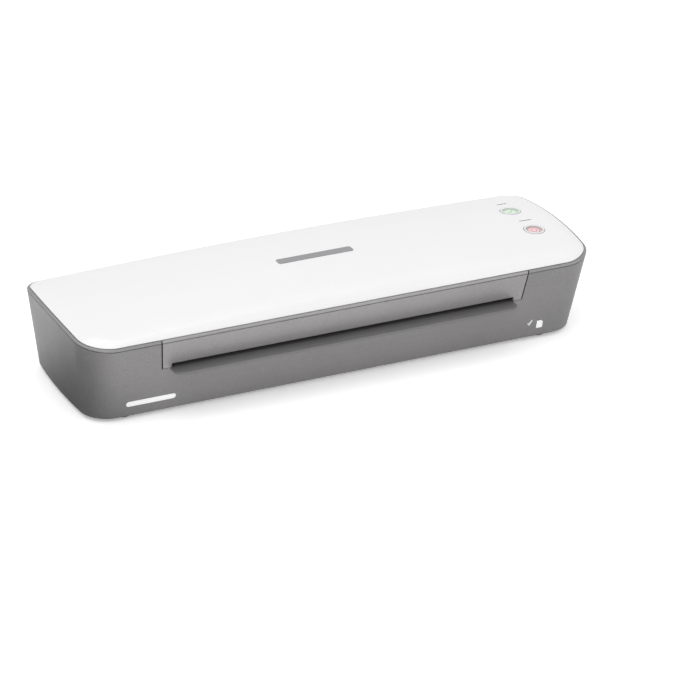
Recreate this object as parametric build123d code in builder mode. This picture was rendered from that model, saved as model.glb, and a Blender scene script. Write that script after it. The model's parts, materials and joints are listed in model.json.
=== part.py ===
from build123d import *
import os
from math import acos, cos, hypot, pi, radians, sin, sqrt, tan

# An A3 pouch laminator: a silver-grey drafted tub with an arched rim, a white crowned cover, a feed slot
# across the front and a delivery slot across the back, with two heated, geared rollers between two steel
# side plates.
# Millimetres. X runs along the slots, -Y is the feeding side, Z is up and the feet stand on z = 0.
# The origin is the middle of the machine's footprint, from the feed shelf's lip to the rear wall.

os.makedirs("parts", exist_ok=True)

# ---------------------------------------------------------------- driving dimensions
FOOT_HEIGHT = 3.0
TUB_FLOOR = 3.0                 # thickness of the tub's floor
WALL = 2.8                      # thickness of the tub's walls
HALF_WIDTH_LOW = 230.5          # half the tub's width at its underside
HALF_WIDTH_HIGH = 240.0         # half the width at the height of the front rim
FRONT_Y_LOW = -56.5             # the front wall leans out from here ...
FRONT_Y_HIGH = -72.7            # ... to here at the front rim
REAR_Y_LOW = 71.6               # and the rear wall from here ...
REAR_Y_HIGH = 79.8              # ... to here
RIM_Z = 74.0                    # height of the rim at the front and at the rear
RIM_ARCH = 6.0                  # how far the rim rises half-way back
RIM_CHAMFER = 0.8
RIM_GROOVE = (1.7, 2.3, 0.5)    # a fine groove under the rim: its two drops below the rim, and its depth
FRONT_RADIUS_LOW = 24.3
FRONT_RADIUS_HIGH = 29.8
REAR_RADIUS_LOW = 10.0
REAR_RADIUS_HIGH = 19.4
END_BOW = 4.0                   # how far each end bulges in plan
REAR_TAPER = 2.4                # how much closer to the middle each end is at the rear
BASE_ROUNDING = 1.6

COVER_INSET = 2.6               # ledge of grey rim left showing round the white cover
COVER_GAP = 0.4                 # shadow gap between the rim and the cover's edge
COVER_WALL = 2.3
ARCH_BULGE = 0.8                # the ends of the arched rim bulge this much past the tub's level plans
COVER_BOW = END_BOW + ARCH_BULGE
COVER_HALF_WIDTH = HALF_WIDTH_HIGH + ARCH_BULGE - COVER_INSET  # half the width of the cover's skirt
COVER_TOP_FRONT = 84.6          # height of the cover's top above the front rim, before its edge is rolled
COVER_TOP_REAR = 81.0
COVER_ARCH = 6.5                # rise of the top between them
CROWN_RADIUS = 5000.0           # the top falls away towards both ends on this radius
EDGE_RISE = 0.7                 # height of the cover's edge above the rim
ROLL_POWER = 5                  # how tightly the roll hugs the edge
COVER_LIP = 2.0                 # depth of the locating lip inside the rim
LIP_INSET = 0.8                 # the locating lip starts this far inside the skirt
LIP_THICK = 1.6
LIP_BURIED = 0.8                # the lip's top is this far under the cover's surface

PATH_Z = 47.5                   # height of the pouch's path
ENTRY_HALF_WIDTH = 159.5        # the slots are 319 mm wide, for a 303 mm A3 pouch
SLOT_LOW_Z = 45.7
SLOT_HIGH_Z = 50.0
PANEL_HALF_TOP = 171.2          # the front and rear centre panels are trapezia
PANEL_HALF_LOW = 168.3
PANEL_GAP = 1.1                 # seam at each end of a panel
LEG_GAP = 0.4                   # seam under the legs of a panel, beside its slot
SHELF_FRONT_Y = -79.8
SHELF_THICK = 2.0
SHELF_CORNER = 8.0
SHELF_REAR_Y = -7.0
ENTRY_TABS = (-13.0, 8.0)       # middle and length, along Y, of the guides' tabs in the side plates
EXIT_TABS = (32.0, 8.0)
GUIDE_THICK = 1.0
UPPER_GUIDE_Z = 50.0
EXIT_GUIDE_Z = 44.6

ROLLER_Y = 8.0
ROLLER_R = 12.0
CORE_R = 7.0
JOURNAL_R = 4.0
NIP_GAP = 0.1
SLEEVE_HALF = 161.0
CORE_HALF = 165.6
LOWER_Z = PATH_Z - NIP_GAP / 2 - ROLLER_R
UPPER_Z = PATH_Z + NIP_GAP / 2 + ROLLER_R
SNUG = 0.02                     # radial gap between pieces fixed to each other
RUNNING = 0.05                  # radial gap of a journal in its bush

PLATE_IN = 167.4                # inner face of each steel side plate
PLATE_THICK = 1.2
PLATE_OUT = PLATE_IN + PLATE_THICK
PLATE_Y = (-20.0, 60.0)
PLATE_Z = (10.0, 78.0)
FLANGE_X = 181.0
BUSH_HALF = 7.0
BUSH_FLANGE_HALF = 8.6
BUSH_FLANGE = 1.4

GEAR_X = (171.8, 178.4)
MODULE = 1.0
ADDENDUM = 0.8 * MODULE
DEDENDUM = 1.15 * MODULE
PRESSURE_ANGLE = 20.0
BACKLASH = 0.12
MESH_SLACK = 0.05               # added to each nominal centre distance
ROLLER_TEETH = 24
IDLER_TEETH = 20
PINION_TEETH = 14
IDLER_ANGLE = -20.0             # direction from the lower roller to the idler
PINION_ANGLE = 10.0             # direction from the idler to the pinion
CLIP_THICK = 0.7
CLIP_R = 5.6
GROOVE_R = 3.2

MOTOR_X = (184.0, 204.0)
MOTOR_R = 21.0
MOTOR_Y = 40.0
MOTOR_Z = 38.0
MOTOR_EAR_REACH = 25.5
MOTOR_EAR_ANGLE = 120.0
STANDOFF_R = 3.4

BUTTON_X = 203.8
READY_Y = 27.0
POWER_Y = -18.0
BEZEL_R = 9.2
BEZEL_GAP = 0.3                 # dark groove round each bezel
BEZEL_PROUD = 0.35              # how far the bezels stand out of the cover
BEZEL_DEPTH = 4.5
CAP_R = 6.9
CAP_GAP = 0.3
CAP_SINK = 0.9                  # how far the caps lie below the cover's surface

BOARD_X = (184.0, 212.0)
BOARD_Y = (-38.0, 46.0)
BOARD_Z = 70.8
BOARD_THICK = 1.6
RELAY_PLACE = (193.0, 6.0)
CAPACITOR_PLACE = (206.0, 5.0)
CONNECTOR_PLACE = (189.0, 22.0)
COMPONENT_HEIGHT = 6.0
SWITCH_BODY = 3.5
SWITCH_PLUNGER = 0.65           # the button's stem stops just short of it when pressed home

SCREW_R = 1.5
PILOT_R = SCREW_R + SNUG
HEAD_R = 2.8
HEAD_HEIGHT = 2.0
COVER_POSTS = [(-218, -4), (218, -4), (-218, 52), (218, 52)]
COVER_POST_TOP = 66.0
PLATE_SCREW_X = 175.5
PLATE_SCREWS_Y = (-12.0, 26.0)
HEATER_PORT_REACH = 17.0        # distance of the heater shoes' screw ports from the roller's axis
HEATER_PORT_ANGLES = (40.0, 140.0)
SHOE_IN_R = 13.8
SHOE_OUT_R = 16.0
FOOT_PLACES = [(-195, -45), (195, -45), (-195, 58), (195, 58)]
FOOT_R = 7.0

INLET_X = -200.0
INLET_Z = 26.0
BADGE = (70.0, 9.0, 1.0)        # length, height and thickness of the plain badge on the cover
BADGE_X = 3.2
BADGE_Y = 1.8


def save(builder, name):
    """Label a finished piece and write it."""
    builder.part.label = name
    export_step(builder.part, f"parts/{name}.step")


def at_x(x):
    """The sketch plane that looks along X: its own axes are Y and Z."""
    return Plane.YZ.offset(x)


# ---------------------------------------------------------------- outlines shared by the casings
def plan(half_width, front_y, rear_y, front_radius, rear_radius, bow):
    """The casing's plan: straight front and back, bowed ends that close in to the rear, round corners."""
    front_x = half_width - bow
    rear_x = front_x - REAR_TAPER
    middle = (half_width - REAR_TAPER / 2, (front_y + rear_y) / 2)
    with BuildSketch(mode=Mode.PRIVATE) as outline:
        with BuildLine():
            Line((-front_x, front_y), (front_x, front_y))
            ThreePointArc((front_x, front_y), middle, (rear_x, rear_y))
            Line((rear_x, rear_y), (-rear_x, rear_y))
            ThreePointArc((-rear_x, rear_y), (-middle[0], middle[1]), (-front_x, front_y))
        make_face()
        fillet(outline.vertices().sort_by(Axis.Y)[:2], front_radius)
        fillet(outline.vertices().sort_by(Axis.Y)[-2:], rear_radius)
    return outline.sketch


def between(low, high, z):
    """A size of the tub at height z, given at its underside and at the front rim."""
    return low + (high - low) * (z - FOOT_HEIGHT) / (RIM_Z - FOOT_HEIGHT)


def tub_plan(z, inset):
    """The tub's plan at height z, inset from its outer face."""
    return plan(
        between(HALF_WIDTH_LOW, HALF_WIDTH_HIGH, z) - inset,
        front_wall_y(z) + inset,
        rear_wall_y(z) - inset,
        between(FRONT_RADIUS_LOW, FRONT_RADIUS_HIGH, z) - inset,
        between(REAR_RADIUS_LOW, REAR_RADIUS_HIGH, z) - inset,
        END_BOW,
    )


def front_wall_y(z):
    """Where the outer face of the front wall stands at height z."""
    return between(FRONT_Y_LOW, FRONT_Y_HIGH, z)


def rear_wall_y(z):
    """Where the outer face of the rear wall stands at height z."""
    return between(REAR_Y_LOW, REAR_Y_HIGH, z)


RIM_MIDDLE_Y = (FRONT_Y_HIGH + REAR_Y_HIGH) / 2
RIM_HALF_DEPTH = (REAR_Y_HIGH - FRONT_Y_HIGH) / 2
RIM_RADIUS = (RIM_HALF_DEPTH**2 + RIM_ARCH**2) / (2 * RIM_ARCH)
LOFT_TOP = RIM_Z + RIM_ARCH + 6.0


def rim_z(y):
    """Height of the arched rim at this y."""
    return RIM_Z + RIM_ARCH - RIM_RADIUS + sqrt(RIM_RADIUS**2 - (y - RIM_MIDDLE_Y) ** 2)


def under_rim(drop):
    """Everything below the arch of the rim, lowered by drop."""
    with BuildPart(mode=Mode.PRIVATE) as form:
        with BuildSketch(Plane.YZ):
            with Locations((RIM_MIDDLE_Y, RIM_Z + RIM_ARCH - RIM_RADIUS)):
                Circle(RIM_RADIUS - drop)
        extrude(amount=HALF_WIDTH_HIGH + 10, both=True)
    return form.part


def depth_share(y):
    """0 at the front rim and 1 at the rear rim."""
    return (y - FRONT_Y_HIGH) / (REAR_Y_HIGH - FRONT_Y_HIGH)


def cover_top_z(x, y):
    """Height of the cover's crowned and arched top, away from its rolled edges."""
    share = depth_share(y)
    arch = COVER_ARCH * (1 - (2 * share - 1) ** 2)
    return COVER_TOP_FRONT + (COVER_TOP_REAR - COVER_TOP_FRONT) * share + arch - x * x / (2 * CROWN_RADIUS)


def on_cover(x, y):
    """A plane that lies on the cover's top at this place, with its own Z pointing out."""
    rise = COVER_TOP_REAR - COVER_TOP_FRONT + 4 * COVER_ARCH * (1 - 2 * depth_share(y))
    slope = rise / (REAR_Y_HIGH - FRONT_Y_HIGH)
    lean = x / CROWN_RADIUS
    return Plane(origin=(x, y, cover_top_z(x, y)), x_dir=(1, 0, -lean), z_dir=(lean, -slope, 1))


COVER_FRONT_Y = FRONT_Y_HIGH + COVER_INSET
COVER_REAR_Y = REAR_Y_HIGH - COVER_INSET
COVER_RADII = (FRONT_RADIUS_HIGH - COVER_INSET, REAR_RADIUS_HIGH - COVER_INSET)


def cover_plan(inset):
    """The cover's plan, inset from its skirt."""
    radii = [radius - inset for radius in COVER_RADII]
    return plan(COVER_HALF_WIDTH - inset, COVER_FRONT_Y + inset, COVER_REAR_Y - inset, *radii, COVER_BOW)


def rolled_top_z(x, y, inset):
    """Height of the cover's surface: its top, rolled down to an upright edge that follows the rim."""
    share = depth_share(y)
    roll = COVER_RADII[0] + (COVER_RADII[1] - COVER_RADII[0]) * share - inset
    half_width = COVER_HALF_WIDTH - inset - REAR_TAPER * share - COVER_BOW * (2 * share - 1) ** 2
    past_end = max(0, 1 - (half_width - abs(x)) / roll)
    past_side = max(0, 1 - (min(y - COVER_FRONT_Y, COVER_REAR_Y - y) - inset) / roll)
    past = hypot(past_end, past_side)
    fall = past**ROLL_POWER if past < 1 else 1 + ROLL_POWER * (past - 1)
    top = cover_top_z(x, y)
    return top - (top - rim_z(y) - EDGE_RISE) * fall


SURFACE_ROWS = 44
SURFACE_COLUMNS = 64
SURFACE_MARGIN = 2.0            # how far the surface runs past the edge before it is trimmed


def cover_form(inset, drop):
    """The solid inside the cover's plan and under its rolled top, lowered by drop."""
    reach_x = COVER_HALF_WIDTH + SURFACE_MARGIN
    reach_y = (COVER_REAR_Y - COVER_FRONT_Y) / 2 + SURFACE_MARGIN
    rows = []
    for row in range(SURFACE_ROWS + 1):
        y = RIM_MIDDLE_Y - reach_y * cos(pi * row / SURFACE_ROWS)
        xs = [-reach_x * cos(pi * column / SURFACE_COLUMNS) for column in range(SURFACE_COLUMNS + 1)]
        rows.append([(x, y, rolled_top_z(x, y, inset) - drop) for x in xs])
    surface = Face.make_surface_from_array_of_points(rows)
    with BuildPart(mode=Mode.PRIVATE) as form:
        with BuildSketch(Plane.XY.offset(RIM_Z - 8)):
            add(cover_plan(inset))
        extrude(amount=30)
        extrude(surface, amount=60, dir=(0, 0, -1), mode=Mode.INTERSECT)
    return form.part


def tub_loft(inset, bottom_z):
    """The tub's drafted form, inset from its outer face, from bottom_z to above the rim."""
    with BuildPart(mode=Mode.PRIVATE) as form:
        with BuildSketch(Plane.XY.offset(bottom_z)):
            add(tub_plan(bottom_z, inset))
        with BuildSketch(Plane.XY.offset(LOFT_TOP)):
            add(tub_plan(LOFT_TOP, inset))
        loft()
    return form.part


def panel_prism(gap, low_z, high_z, facing):
    """A trapezium block that cuts out a centre panel: facing is -1 for the front wall and 1 for the rear."""
    lean = (PANEL_HALF_TOP - PANEL_HALF_LOW) / (RIM_Z - SLOT_LOW_Z)
    low_half = PANEL_HALF_LOW + lean * (low_z - SLOT_LOW_Z) - gap
    high_half = PANEL_HALF_LOW + lean * (high_z - SLOT_LOW_Z) - gap
    with BuildPart(mode=Mode.PRIVATE) as prism:
        with BuildSketch(Plane.XZ.offset(-48 * facing)):
            with BuildLine():
                Polyline(
                    (-low_half, low_z), (low_half, low_z), (high_half, high_z), (-high_half, high_z), close=True
                )
            make_face()
        extrude(amount=-40 * facing)
    return prism.part


def locating_lip():
    """The ring under the cover's edge that drops inside the tub's rim."""
    with BuildPart(mode=Mode.PRIVATE) as ring:
        with BuildSketch(Plane.XY.offset(RIM_Z - 8)):
            add(cover_plan(LIP_INSET))
            add(cover_plan(LIP_INSET + LIP_THICK), mode=Mode.SUBTRACT)
        extrude(amount=30)
        add(cover_form(0, LIP_BURIED), mode=Mode.INTERSECT)
        add(under_rim(COVER_LIP), mode=Mode.SUBTRACT)
    return ring.part


# ---------------------------------------------------------------- casing
tub_outside = tub_loft(0, FOOT_HEIGHT)
tub_outside = tub_outside.fillet(BASE_ROUNDING, tub_outside.edges().group_by(Axis.Z)[0])
tub_outside = tub_outside & under_rim(0)
tub_outside = tub_outside.chamfer(RIM_CHAMFER, None, tub_outside.faces().sort_by(Axis.Z)[-1].edges())
groove_band = under_rim(RIM_GROOVE[0]) - under_rim(RIM_GROOVE[1])
tub_outside = tub_outside - (groove_band - tub_loft(RIM_GROOVE[2], FOOT_HEIGHT))
tub_hollow = tub_loft(WALL, FOOT_HEIGHT + TUB_FLOOR)
WINDOW_TOP = LOFT_TOP + 5.0
LINER = (52.0, 70.0)            # heights between which the panels grip the wall from inside
LINER_REACH = 6.0

with BuildPart() as lower_housing:
    add(tub_outside)
    add(tub_hollow, mode=Mode.SUBTRACT)
    for facing in (-1, 1):
        add(panel_prism(0, SLOT_LOW_Z, WINDOW_TOP, facing), mode=Mode.SUBTRACT)
    # gap under the front window for the feed shelf
    with Locations((0, front_wall_y(SLOT_LOW_Z), SLOT_LOW_Z - SHELF_THICK - SNUG)):
        Box(
            2 * ENTRY_HALF_WIDTH + 1.4, 12, 4,
            align=(Align.CENTER, Align.CENTER, Align.MIN), mode=Mode.SUBTRACT,
        )
    # tall posts, bored for a screwdriver, that take the cover's screws near their tops
    with BuildSketch(Plane.XY.offset(FOOT_HEIGHT + 1)):
        with Locations(*COVER_POSTS):
            Circle(5.2)
    extrude(amount=COVER_POST_TOP - FOOT_HEIGHT - 1)
    with BuildSketch(Plane.XY.offset(FOOT_HEIGHT)):
        with Locations(*COVER_POSTS):
            Circle(3.2)
    extrude(amount=COVER_POST_TOP - FOOT_HEIGHT - 3, mode=Mode.SUBTRACT)
    with BuildSketch(Plane.XY.offset(COVER_POST_TOP - 4)):
        with Locations(*COVER_POSTS):
            Circle(PILOT_R)
    extrude(amount=5, mode=Mode.SUBTRACT)
    # low bosses under the side plates
    plate_screw_places = [(side * PLATE_SCREW_X, y) for side in (-1, 1) for y in PLATE_SCREWS_Y]
    with BuildSketch(Plane.XY.offset(FOOT_HEIGHT + 1)):
        with Locations(*plate_screw_places):
            Circle(4.6)
    extrude(amount=PLATE_Z[0] - FOOT_HEIGHT - 1)
    with BuildSketch(Plane.XY.offset(PLATE_Z[0])):
        with Locations(*plate_screw_places):
            Circle(PILOT_R)
    extrude(amount=-5.5, mode=Mode.SUBTRACT)
    # holes for the stems of the feet, ventilation slots and the mains inlet
    with BuildSketch(Plane.XY.offset(FOOT_HEIGHT)):
        with Locations(*FOOT_PLACES):
            Circle(2.6)
    extrude(amount=TUB_FLOOR, mode=Mode.SUBTRACT)
    with BuildSketch(Plane.XY.offset(FOOT_HEIGHT)):
        with Locations((0, 8)):
            with GridLocations(36, 14, 8, 5):
                SlotOverall(26, 3)
    extrude(amount=TUB_FLOOR, mode=Mode.SUBTRACT)
    with BuildSketch(Plane.XZ.offset(-rear_wall_y(INLET_Z))):
        with Locations((INLET_X, INLET_Z)):
            RectangleRounded(16.4, 9.4, 3.5)
    extrude(amount=8, both=True, mode=Mode.SUBTRACT)
save(lower_housing, "lower_housing")

for name, facing in (("front_fascia", -1), ("rear_fascia", 1)):
    with BuildPart() as fascia:
        add(tub_outside)
        add(tub_hollow, mode=Mode.SUBTRACT)
        add(panel_prism(PANEL_GAP, SLOT_LOW_Z + LEG_GAP, WINDOW_TOP, facing), mode=Mode.INTERSECT)
        # lining that grips the tub's wall from inside, past both seams
        lining = tub_loft(WALL - 0.6, 40) - tub_loft(WALL + 1.6, 39)
        add(lining & panel_prism(PANEL_GAP, *LINER, facing))
        gripping = tub_loft(WALL + SNUG, 40) - tub_loft(WALL + 1.6, 39)
        add(gripping & panel_prism(-LINER_REACH, *LINER, facing))
        with BuildSketch(Plane.XZ.offset(-48 * facing)):
            with Locations((0, SLOT_HIGH_Z)):
                Rectangle(2 * ENTRY_HALF_WIDTH, 10, align=(Align.CENTER, Align.MAX))
        extrude(amount=-40 * facing, mode=Mode.SUBTRACT)
    save(fascia, name)

with BuildPart() as feed_shelf:
    with BuildSketch(Plane.XY.offset(SLOT_LOW_Z - SHELF_THICK)) as shelf_plan:
        with Locations((0, SHELF_FRONT_Y)):
            Rectangle(2 * ENTRY_HALF_WIDTH + 1, SHELF_REAR_Y - SHELF_FRONT_Y, align=(Align.CENTER, Align.MIN))
        fillet(shelf_plan.vertices().group_by(Axis.Y)[0], SHELF_CORNER)
        with Locations((0, ENTRY_TABS[0])):
            Rectangle(2 * PLATE_OUT, ENTRY_TABS[1])
    extrude(amount=SHELF_THICK)
    fillet(feed_shelf.faces().sort_by(Axis.Y)[0].edges().filter_by(Axis.X), 0.6)
save(feed_shelf, "feed_shelf")

board_posts = [(x, y) for x in (BOARD_X[0] + 4, BOARD_X[1] - 4) for y in (BOARD_Y[0] + 4, BOARD_Y[1] - 4)]
BOARD_TOP = BOARD_Z + BOARD_THICK
badge_plane = on_cover(BADGE_X, BADGE_Y)

with BuildPart() as top_cover:
    add(cover_form(0, 0))
    add(cover_form(COVER_WALL, COVER_WALL), mode=Mode.SUBTRACT)
    add(under_rim(-COVER_GAP), mode=Mode.SUBTRACT)
    # locating lip that drops inside the tub's rim
    add(locating_lip())
    for x, y in COVER_POSTS:
        with BuildSketch(Plane.XY.offset(COVER_POST_TOP)):
            with Locations((x, y)):
                Circle(5.2)
                Circle(PILOT_R, mode=Mode.SUBTRACT)
        extrude(amount=cover_top_z(x, y) - 1.4 - COVER_POST_TOP)
    for x, y in board_posts:
        with BuildSketch(Plane.XY.offset(BOARD_TOP)):
            with Locations((x, y)):
                Circle(3.2)
                Circle(PILOT_R, mode=Mode.SUBTRACT)
        extrude(amount=cover_top_z(x, y) - 1.4 - BOARD_TOP)
    for y in (READY_Y, POWER_Y):
        with BuildSketch(on_cover(BUTTON_X, y).offset(-6)):
            Circle(BEZEL_R + BEZEL_GAP)
        extrude(amount=8, mode=Mode.SUBTRACT)
    with BuildSketch(badge_plane.offset(-0.6)):
        RectangleRounded(BADGE[0] + 2 * SNUG, BADGE[1] + 2 * SNUG, 2)
    extrude(amount=4, mode=Mode.SUBTRACT)
save(top_cover, "top_cover")

with BuildPart() as top_badge:
    with BuildSketch(badge_plane.offset(-0.6)):
        RectangleRounded(BADGE[0], BADGE[1], 2)
    extrude(amount=BADGE[2])
    fillet(top_badge.faces().sort_by(Axis.Z)[-1].edges(), 0.15)
save(top_badge, "top_badge")

with BuildPart() as rubber_feet:
    with BuildSketch():
        with Locations(*FOOT_PLACES):
            Circle(FOOT_R)
    extrude(amount=FOOT_HEIGHT)
    chamfer(rubber_feet.edges().group_by(Axis.Z)[0], 0.6)
    with BuildSketch(Plane.XY.offset(FOOT_HEIGHT)):
        with Locations(*FOOT_PLACES):
            Circle(2.6 - SNUG)
    extrude(amount=TUB_FLOOR + 0.2)
    with BuildSketch(Plane.XY.offset(FOOT_HEIGHT + TUB_FLOOR + 0.2)):
        with Locations(*FOOT_PLACES):
            Circle(3.2)
    extrude(amount=1.4, taper=30)
save(rubber_feet, "rubber_feet")

# ---------------------------------------------------------------- buttons and control board
def is_ring_top(face):
    """Whether this is the face of a bezel that lies above the cover."""
    place = face.center()
    return face.normal_at().Z > 0.9 and place.Z > cover_top_z(place.X, place.Y)


with BuildPart() as button_bezels:
    for y in (READY_Y, POWER_Y):
        with BuildSketch(on_cover(BUTTON_X, y).offset(-BEZEL_DEPTH)):
            Circle(BEZEL_R)
            Circle(CAP_R + CAP_GAP, mode=Mode.SUBTRACT)
        extrude(amount=BEZEL_DEPTH + BEZEL_PROUD)
        with BuildSketch(on_cover(BUTTON_X, y).offset(-BEZEL_DEPTH)):
            Circle(BEZEL_R + 1.4)
            Circle(BEZEL_R - 0.5, mode=Mode.SUBTRACT)
        extrude(amount=BEZEL_DEPTH - COVER_WALL - 0.45)
    for ring_top in button_bezels.faces().filter_by(is_ring_top):
        chamfer(ring_top.edges(), 0.25)
save(button_bezels, "button_bezels")

with BuildPart() as power_button:
    with BuildSketch(on_cover(BUTTON_X, POWER_Y).offset(-BEZEL_DEPTH - 1.4)):
        Circle(CAP_R)
    extrude(amount=BEZEL_DEPTH + 1.4 - CAP_SINK)
    fillet(power_button.edges().filter_by(GeomType.CIRCLE).sort_by(Axis.Z)[-1], 0.5)
    with BuildSketch(on_cover(BUTTON_X, POWER_Y).offset(-BEZEL_DEPTH - 1.4)):
        Circle(CAP_R + 1.4)
    extrude(amount=1.35)
    with BuildSketch(on_cover(BUTTON_X, POWER_Y).offset(-BEZEL_DEPTH - 1.4)):
        Circle(1.8)
    extrude(amount=-1.35)
save(power_button, "power_button")

with BuildPart() as ready_lens:
    with BuildSketch(on_cover(BUTTON_X, READY_Y).offset(-BEZEL_DEPTH)):
        Circle(CAP_R + CAP_GAP - SNUG)
    extrude(amount=BEZEL_DEPTH - CAP_SINK)
    fillet(ready_lens.edges().filter_by(GeomType.CIRCLE).sort_by(Axis.Z)[-1], 0.5)
    with BuildSketch(on_cover(BUTTON_X, READY_Y).offset(-BEZEL_DEPTH)):
        Circle(2.2)
    extrude(amount=-3.5)
save(ready_lens, "ready_lens")

with BuildPart() as control_board:
    with BuildSketch(Plane.XY.offset(BOARD_Z)):
        with Locations((sum(BOARD_X) / 2, sum(BOARD_Y) / 2)):
            RectangleRounded(BOARD_X[1] - BOARD_X[0], BOARD_Y[1] - BOARD_Y[0], 2)
        with Locations(*board_posts):
            Circle(PILOT_R, mode=Mode.SUBTRACT)
    extrude(amount=BOARD_THICK)
    with BuildSketch(Plane.XY.offset(BOARD_TOP)):
        with Locations(RELAY_PLACE):
            Rectangle(15, 10)
        with Locations(CAPACITOR_PLACE):
            Circle(3.5)
        with Locations(CONNECTOR_PLACE):
            Rectangle(6, 12)
    extrude(amount=COMPONENT_HEIGHT)
save(control_board, "control_board")

with BuildPart() as tact_switch:
    with BuildSketch(Plane.XY.offset(BOARD_TOP)):
        with Locations((BUTTON_X, POWER_Y)):
            RectangleRounded(6.2, 6.2, 0.5)
    extrude(amount=SWITCH_BODY)
    with BuildSketch(Plane.XY.offset(BOARD_TOP + SWITCH_BODY)):
        with Locations((BUTTON_X, POWER_Y)):
            Circle(1.75)
    extrude(amount=SWITCH_PLUNGER)
save(tact_switch, "tact_switch")

with BuildPart() as status_leds:
    with BuildSketch(Plane.XY.offset(BOARD_TOP)):
        with Locations((BUTTON_X, READY_Y), (BUTTON_X, POWER_Y + 9)):
            Circle(1.5)
    extrude(amount=2.6)
    fillet(status_leds.edges().filter_by(GeomType.CIRCLE).group_by(Axis.Z)[-1], 1.2)
save(status_leds, "status_leds")

BUTTON_SPRING_TOP = cover_top_z(BUTTON_X, POWER_Y) - BEZEL_DEPTH - 1.4 - 0.35
SPRING_WIRE = 0.35


def coil(x, y, low_z, high_z, coil_radius, wire, turns):
    """A compression spring standing on low_z, as a round wire swept along a helix."""
    height = high_z - low_z - 2 * wire
    with BuildPart(mode=Mode.PRIVATE) as spring:
        with BuildLine():
            path = Helix(height / turns, height, coil_radius, center=(x, y, low_z + wire))
        with BuildSketch(Plane(origin=path @ 0, z_dir=path % 0)):
            Circle(wire)
        sweep()
    return spring.part


with BuildPart() as button_spring:
    add(coil(BUTTON_X, POWER_Y, BOARD_TOP, BUTTON_SPRING_TOP, 5.4, SPRING_WIRE, 3.5))
save(button_spring, "button_spring")

# ---------------------------------------------------------------- side plates and their bars
heater_ports = []
for axis_z, sign in ((UPPER_Z, 1), (LOWER_Z, -1)):
    for angle in HEATER_PORT_ANGLES:
        port_y = ROLLER_Y + HEATER_PORT_REACH * cos(radians(angle))
        heater_ports.append((port_y, axis_z + sign * HEATER_PORT_REACH * sin(radians(angle))))
TIE_BARS = [(-13.0, 18.0), (53.0, 24.0), (53.0, 66.0)]
IDLER_REACH = MODULE * (ROLLER_TEETH + IDLER_TEETH) / 2 + MESH_SLACK
PINION_REACH = MODULE * (IDLER_TEETH + PINION_TEETH) / 2 + MESH_SLACK
IDLER_Y = ROLLER_Y + IDLER_REACH * cos(radians(IDLER_ANGLE))
IDLER_Z = LOWER_Z + IDLER_REACH * sin(radians(IDLER_ANGLE))
PINION_Y = IDLER_Y + PINION_REACH * cos(radians(PINION_ANGLE))
PINION_Z = IDLER_Z + PINION_REACH * sin(radians(PINION_ANGLE))
EAR_Y = MOTOR_EAR_REACH * cos(radians(MOTOR_EAR_ANGLE))
EAR_Z = MOTOR_EAR_REACH * sin(radians(MOTOR_EAR_ANGLE))
motor_ears = [(MOTOR_Y + EAR_Y, MOTOR_Z + EAR_Z), (MOTOR_Y - EAR_Y, MOTOR_Z - EAR_Z)]
WIRE_HOLE = (-13.0, 62.0)


def side_plate(driven):
    """The right-hand steel side plate; the driven one is also pierced for the idler and the motor."""
    with BuildPart(mode=Mode.PRIVATE) as plate:
        with BuildSketch(at_x(PLATE_IN)) as face:
            with Locations((sum(PLATE_Y) / 2, sum(PLATE_Z) / 2)):
                Rectangle(PLATE_Y[1] - PLATE_Y[0], PLATE_Z[1] - PLATE_Z[0])
            chamfer(face.vertices().group_by(Axis.Y)[0], 8)
            chamfer(face.vertices().group_by(Axis.Y)[-1], 6)
            with Locations((ROLLER_Y, LOWER_Z)):
                Rectangle(2 * BUSH_HALF, 2 * BUSH_HALF, mode=Mode.SUBTRACT)
            with Locations((ROLLER_Y, UPPER_Z - BUSH_HALF)):
                Rectangle(
                    2 * BUSH_HALF, PLATE_Z[1] - UPPER_Z + BUSH_HALF,
                    align=(Align.CENTER, Align.MIN), mode=Mode.SUBTRACT,
                )
            with Locations(*heater_ports):
                Circle(PILOT_R, mode=Mode.SUBTRACT)
            with Locations(*TIE_BARS):
                Circle(2.5 + SNUG, mode=Mode.SUBTRACT)
            with Locations(WIRE_HOLE):
                Circle(3.5, mode=Mode.SUBTRACT)
            for middle, length in (ENTRY_TABS, EXIT_TABS):
                with Locations((middle, UPPER_GUIDE_Z + GUIDE_THICK / 2)):
                    Rectangle(length + 0.1, GUIDE_THICK + 0.1, mode=Mode.SUBTRACT)
            with Locations((ENTRY_TABS[0], SLOT_LOW_Z - SHELF_THICK / 2)):
                Rectangle(ENTRY_TABS[1] + 0.1, SHELF_THICK + 0.1, mode=Mode.SUBTRACT)
            with Locations((EXIT_TABS[0], EXIT_GUIDE_Z + GUIDE_THICK / 2)):
                Rectangle(EXIT_TABS[1] + 0.1, GUIDE_THICK + 0.1, mode=Mode.SUBTRACT)
            if driven:
                with Locations((IDLER_Y, IDLER_Z)):
                    Circle(3 + SNUG, mode=Mode.SUBTRACT)
                with Locations(*motor_ears):
                    Circle(PILOT_R, mode=Mode.SUBTRACT)
        extrude(amount=PLATE_THICK)
        with BuildSketch(Plane.XY.offset(PLATE_Z[0])):
            for y in PLATE_SCREWS_Y:
                with Locations(((PLATE_IN + FLANGE_X) / 2, y)):
                    Rectangle(FLANGE_X - PLATE_IN, 12)
                with Locations((PLATE_SCREW_X, y)):
                    Circle(PILOT_R, mode=Mode.SUBTRACT)
        extrude(amount=PLATE_THICK)
    return plate.part


with BuildPart() as right_side_plate:
    add(side_plate(True))
save(right_side_plate, "right_side_plate")

with BuildPart() as left_side_plate:
    add(side_plate(False).mirror(Plane.YZ))
save(left_side_plate, "left_side_plate")

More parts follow.
